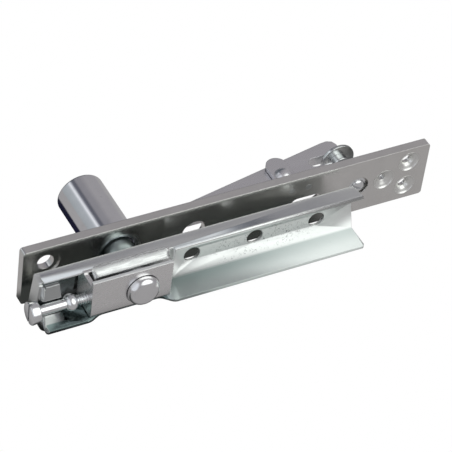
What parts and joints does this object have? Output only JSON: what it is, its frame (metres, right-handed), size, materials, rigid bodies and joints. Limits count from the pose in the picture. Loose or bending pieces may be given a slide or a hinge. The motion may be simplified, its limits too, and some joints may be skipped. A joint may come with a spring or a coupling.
{
  "type": "door top pivot",
  "caption": "Long flat plate with a retractable pin in a round barrel, worked by a lever, hung with a folded holed arm whose adjustable domed socket turns on the pin at the top of a door.",
  "frame": {"origin": "on the pin's axis, in the plate's front face, the one towards the arm", "axes": "X along the plate towards the lever's screw, Y along the pin away from the arm, Z across the plate, up as in the picture"},
  "size_m": [0.2104, 0.0694, 0.0306],
  "materials": {
    "plated_plate": "zinc plated, satin",
    "plated_sheet": "zinc plated, satin",
    "turned_steel": "turned and zinc plated",
    "pressed_cup": "pressed, zinc plated, bright",
    "screw_steel": "zinc plated, bright"
  },
  "bodies": {
    "frame": {"frame_plate": "plated_plate", "pin_barrel": "turned_steel", "barrel_cap": "turned_steel", "lever_lug": "plated_sheet", "lug_rivet_left": "screw_steel", "lug_rivet_right": "screw_steel", "lever_rivet": "screw_steel"},
    "pin": {"pivot_pin": "turned_steel"},
    "lever": {"lever": "plated_sheet"},
    "disc": {"screw_disc": "turned_steel"},
    "screw": {"retracting_screw": "screw_steel"},
    "slide": {"bearing_slide": "plated_sheet", "bearing_pad": "plated_sheet", "bearing_cup": "pressed_cup"},
    "arm": {"door_arm": "plated_sheet", "arm_end": "plated_sheet"},
    "adjuster": {"adjusting_screw": "screw_steel", "adjuster_collar": "screw_steel"}
  },
  "joints": [
    {"name": "lever_turn", "type": "hinge", "parent": "frame", "child": "lever", "pos_m": [0.0899, 0.015, 0], "axis": [0, 0, 1], "range_deg": [-13.2, 0]},
    {"name": "pin_retract", "type": "slide", "parent": "frame", "child": "pin", "axis": [0, 1, 0], "range_m": [0, 0.0207]},
    {"name": "disc_travel", "type": "slide", "parent": "frame", "child": "disc", "axis": [0, 1, 0], "range_m": [-0.0069, 0]},
    {"name": "screw_turn", "type": "hinge", "parent": "disc", "child": "screw", "pos_m": [0.1212, 0, 0], "axis": [0, 1, 0], "range_deg": [-2500, 2500]},
    {"name": "door_swing", "type": "hinge", "parent": "frame", "child": "slide", "pos_m": [0, 0, 0], "axis": [0, 1, 0], "range_deg": [-105, 105]},
    {"name": "arm_adjust", "type": "slide", "parent": "slide", "child": "arm", "axis": [1, 0, 0], "range_m": [-0.002, 0.002]},
    {"name": "adjuster_turn", "type": "hinge", "parent": "arm", "child": "adjuster", "pos_m": [-0.05, -0.0188, -0.0015], "axis": [1, 0, 0], "range_deg": [-900, 900]}
  ],
  "couplings": [
    {"joint": "pin_retract", "follows": "lever_turn", "m_per_rad": -0.0899},
    {"joint": "disc_travel", "follows": "lever_turn", "m_per_rad": 0.0299},
    {"joint": "screw_turn", "follows": "lever_turn", "ratio": 188},
    {"joint": "adjuster_turn", "follows": "arm_adjust", "rad_per_m": 5027}
  ]
}
